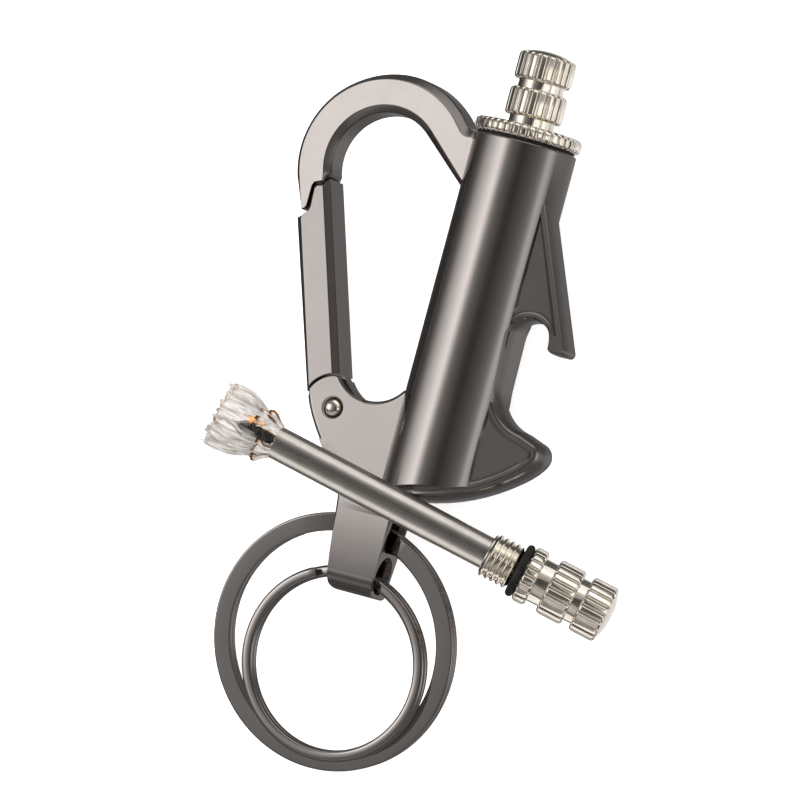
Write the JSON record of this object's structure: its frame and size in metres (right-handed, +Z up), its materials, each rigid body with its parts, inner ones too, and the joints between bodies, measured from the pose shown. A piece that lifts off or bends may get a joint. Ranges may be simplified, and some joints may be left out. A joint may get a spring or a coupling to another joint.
{
  "type": "flint spark lighter",
  "caption": "Keychain permanent match: carabiner casting with fuel tube, flint strip and bottle opener, screw-in metal matches and split rings.",
  "frame": {"origin": "centre of the bounding box on the surface that the lighter lies on", "axes": "+Y along the fuel tube towards its screw collar, +Z up out of the front face, +X from the carabiner loop towards the bottle opener"},
  "size_m": [0.0556, 0.095, 0.0245],
  "materials": {
    "gunmetal": "satin black-nickel plated zinc die casting",
    "nickel": "bright nickel plated brass",
    "steel": "satin drawn steel tube",
    "spring_steel": "plain spring wire",
    "ring_steel": "black-nickel plated spring steel",
    "ferro": "matt dark ferrocerium",
    "rubber": "matt black rubber",
    "cotton": "white cotton wadding",
    "wick": "white glass fibre cord",
    "charred_fibre": "frayed, ashy and charred fibre",
    "striker": "sooty steel"
  },
  "bodies": {
    "casting": {"body_casting": "gunmetal", "flint_strip": "ferro", "gate_rivet": "gunmetal", "gate_spring": "spring_steel", "tank_collar": "nickel", "collar_gasket": "rubber", "fuel_wadding": "cotton"},
    "gate": {"gate": "gunmetal"},
    "stowed_seal": {"stowed_match_o_ring": "rubber"},
    "stowed_match": {"stowed_match_head": "nickel", "stowed_match_sleeve": "steel", "stowed_match_wick": "wick", "stowed_match_striker": "striker"},
    "loose_match": {"loose_match_head": "nickel", "loose_match_o_ring": "rubber", "loose_match_sleeve": "steel", "loose_match_wick": "charred_fibre", "loose_match_striker": "striker"},
    "large_ring": {"large_split_ring": "ring_steel"},
    "small_ring": {"small_split_ring": "ring_steel"}
  },
  "joints": [
    {"name": "gate_hinge", "type": "hinge", "parent": "casting", "child": "gate", "pos_m": [-0.014, -0.00259, 0.00695], "axis": [0, 0, 1], "range_deg": [-24, 0], "stiffness_Nm_per_rad": 0.08, "springref_deg": 22.92, "deforming": ["gate_spring"]},
    {"name": "stowed_match_slide", "type": "slide", "parent": "casting", "child": "stowed_seal", "axis": [0, 1, 0], "range_m": [0, 0.054]},
    {"name": "stowed_match_turn", "type": "hinge", "parent": "stowed_seal", "child": "stowed_match", "pos_m": [0.0009, 0.034, 0.00695], "axis": [0, 1, 0], "continuous": true},
    {"name": "loose_match_lift", "type": "slide", "parent": "casting", "child": "loose_match", "axis": [0, 0, 1], "range_m": [0, 0.05]},
    {"name": "large_ring_swing", "type": "hinge", "parent": "casting", "child": "large_ring", "pos_m": [-0.0078, -0.01607, 0.00695], "axis": [1, 0, 0], "range_deg": [0, 80]},
    {"name": "small_ring_swing", "type": "hinge", "parent": "casting", "child": "small_ring", "pos_m": [-0.00658, -0.02217, 0.00695], "axis": [1, 0, 0], "range_deg": [-95, 0]}
  ]
}
